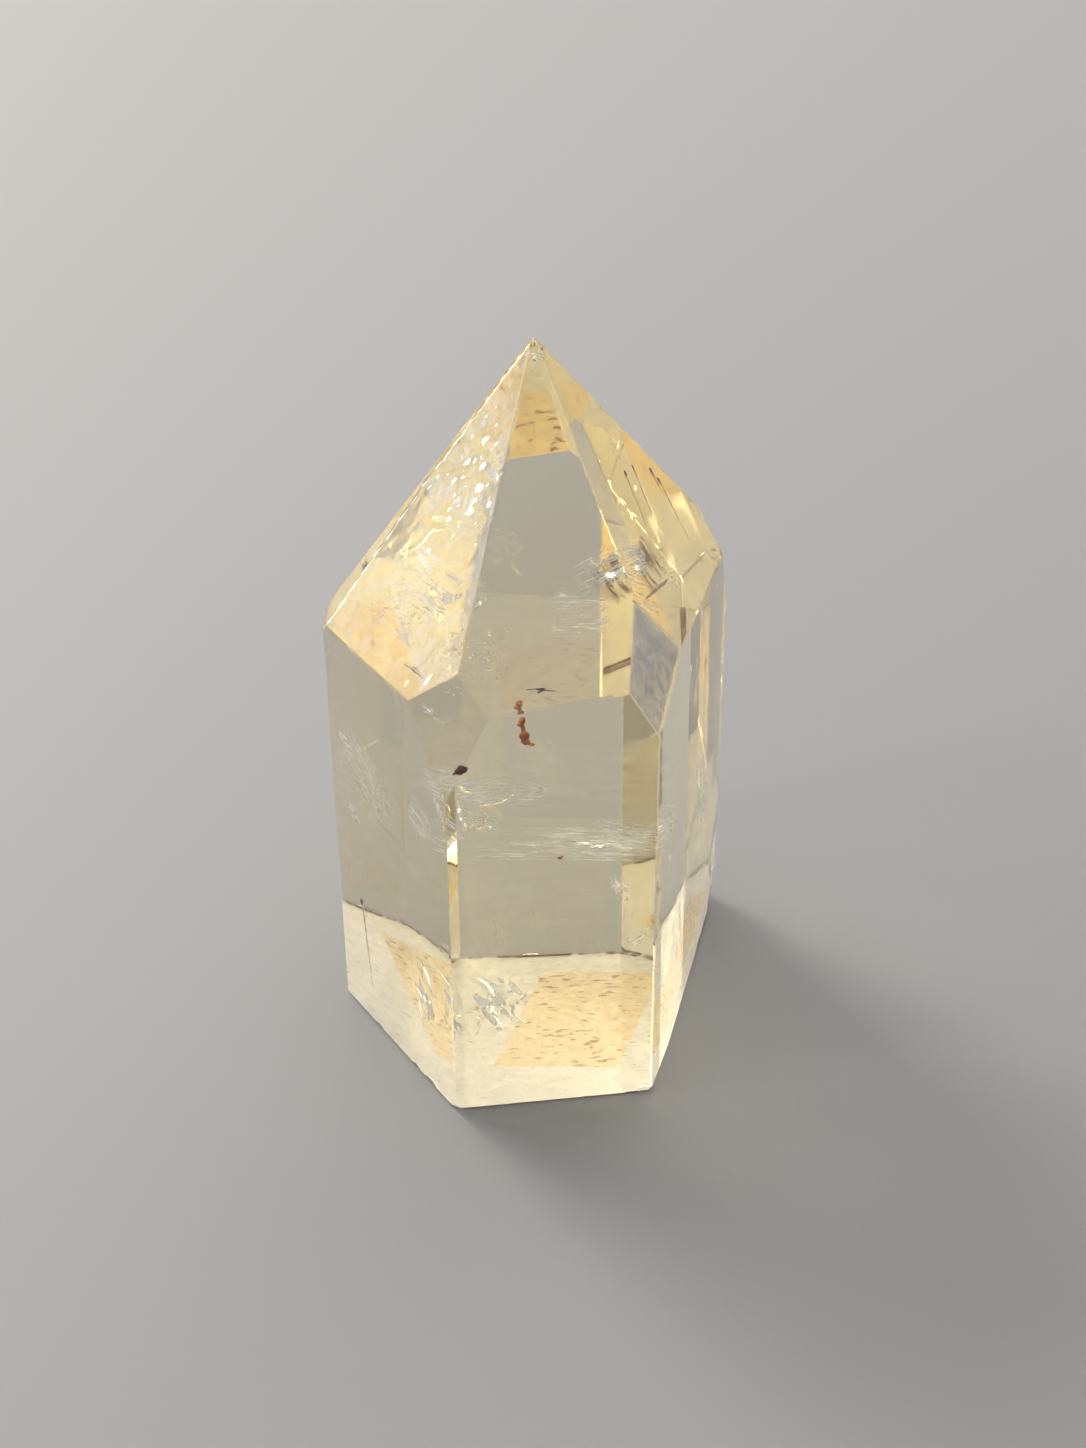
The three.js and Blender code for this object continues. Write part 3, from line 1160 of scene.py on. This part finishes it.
veils = {
    "front_veil_upper": {
        "look": "silk", "spot": (-3.6, -14.5, 39.6), "size": (10, 3.2), "turn": (70, 8, 5), "bow": 40},
    "front_veil_band": {
        "look": "silk", "spot": (2.5, -11.0, 30.9), "size": (19, 4.4), "turn": (60, 5, 3), "bow": 30},
    "front_veil_right": {
        "look": "silk", "spot": (9.2, -10.0, 31.5), "size": (8, 3.4), "turn": (75, 12, 5), "bow": 20},
    "front_mist_upper": {
        "look": "mist", "spot": (1.0, -4.0, 36.5), "size": (19, 8), "turn": (70, 0, 0), "bow": 15},
    "front_mist_lower": {
        "look": "mist", "spot": (0.0, 2.0, 18.0), "size": (18, 10), "turn": (75, 0, 0), "bow": 15},
    "front_sparks": {
        "look": "spark", "spot": (-5.4, -16.5, 36.8), "size": (5, 2.2), "turn": (80, 10, 0), "bow": 20},
    "centre_sparks": {
        "look": "spark", "spot": (-4.2, -10.4, 50.8), "size": (6.5, 6.5), "turn": (60, 0, 0), "bow": 40},
    "centre_lines": {
        "look": "silk", "spot": (4.9, -4.2, 51.0), "size": (6, 5), "turn": (60, 0, 0), "bow": 10},
    "centre_flakes": {
        "look": "silk", "spot": (7.2, -6.0, 58.0), "size": (6.5, 4), "turn": (50, -15, 20), "bow": 50},
    "left_tip_veil": {
        "look": "pale", "spot": (-8.0, -4.2, 54.9), "size": (8, 5.5), "turn": (50, 15, -35), "bow": 70},
    "left_tip_sparks": {
        "look": "spark", "spot": (-11.5, -5.5, 52.6), "size": (9, 5), "turn": (50, 20, -30), "bow": 40},
    "left_face_veil": {
        "look": "silk", "spot": (-14.5, -4.7, 32.6), "size": (11.5, 7), "turn": (60, 38, -25), "bow": 30},
    "left_band_veil": {
        "look": "silk", "spot": (-9.4, -15.4, 35.0), "size": (5, 4), "turn": (60, 35, -25), "bow": 40},
    "right_tip_veil": {
        "look": "rust", "spot": (9.2, -3.6, 56.2), "size": (7, 5), "turn": (60, -30, 40), "bow": 50},
    "right_tip_sparks": {
        "look": "spark", "spot": (12.4, 0.0, 54.6), "size": (6, 5), "turn": (60, -20, 50), "bow": 40},
    "right_side_shards": {
        "look": "shard", "spot": (17.4, 2.2, 25.4), "size": (8.5, 4.5), "turn": (67, 70, 42), "bow": 30},
    "right_side_sparks": {
        "look": "spark", "spot": (18.4, 6.2, 17.5), "size": (9, 3.5), "turn": (67, 80, 42), "bow": 20},
    "tip_shards": {
        "look": "shard", "spot": (0.7, 3.5, 77.3), "size": (1.1, 0.9), "turn": (50, 20, 0), "bow": 40},
    "shoulder_shards": {
        "look": "shard", "spot": (-9.0, -16.9, 48.9), "size": (3.4, 0.9), "turn": (66, 25, -20), "bow": 30},
    "left_shards": {
        "look": "shard", "spot": (-17.4, -3.6, 27.0), "size": (3.0, 1.4), "turn": (66, 35, -40), "bow": 30},
    "left_streaks": {
        "look": "shard", "spot": (-17.9, -3.6, 36.0), "size": (4.0, 1.2), "turn": (66, 35, -40), "bow": 20},
    "low_right_shards": {
        "look": "shard", "spot": (8.7, -15.4, 26.4), "size": (3.6, 1.6), "turn": (66, 75, 4), "bow": 40},
    "low_corner_shards": {
        "look": "shard", "spot": (11.0, -15.0, 19.9), "size": (3.6, 1.2), "turn": (66, -35, 4), "bow": 30},
    "front_shards": {
        "look": "shard", "spot": (-5.6, -17.8, 37.8), "size": (4.5, 1.6), "turn": (66, 30, 4), "bow": 30},
    "cluster_shards": {
        "look": "shard", "spot": (-3.8, -16.6, 12.0), "size": (6.5, 5), "turn": (66, 60, 4), "bow": 60},
    "low_left_shards": {
        "look": "shard", "spot": (-10.4, -15.4, 11.0), "size": (8, 3.0), "turn": (66, 75, -30), "bow": 50},
    "right_side_veil": {
        "look": "silk", "spot": (17.2, 4.0, 23.0), "size": (11, 5), "turn": (80, 80, 40), "bow": 30},
    "low_left_veil": {
        "look": "mist", "spot": (-6.2, -15.6, 12.0), "size": (8, 8), "turn": (75, 60, 20), "bow": 60},
    "low_side_veil": {
        "look": "mist", "spot": (-9.7, -14.5, 9.5), "size": (10, 5), "turn": (80, 75, 30), "bow": 50},
    "back_fan_left": {
        "look": "hair", "spot": (-7.0, 20.0, 5.6), "size": (9, 7), "turn": (90, 80, 0), "bow": 20},
    "back_fan_middle": {
        "look": "hair", "spot": (-0.5, 20.5, 5.2), "size": (8, 8), "turn": (90, 95, 0), "bow": 20},
    "back_fan_right": {
        "look": "hair", "spot": (5.0, 20.0, 4.2), "size": (6, 6), "turn": (90, 110, 0), "bow": 20},
}


def makeVeil(name, veil):
    wide, tall = veil["size"]
    along, across = sheet["veilGrid"]
    deselectAll()
    bpy.ops.mesh.primitive_grid_add(x_subdivisions=along, y_subdivisions=across, size=1)
    piece = bpy.context.object
    piece.name = name
    editAll()
    bpy.ops.transform.resize(value=(wide * mm, tall * mm, 1))
    leaveEdit()
    bowSheet(piece, veil, sheet["veilWave"], sheet["veilRise"], wall=sheet["veilWall"])
    sealIn(piece, veilMaterials[veil["look"]])


for name, veil in veils.items():
    makeVeil(name, veil)
print("veils:", len(veils))
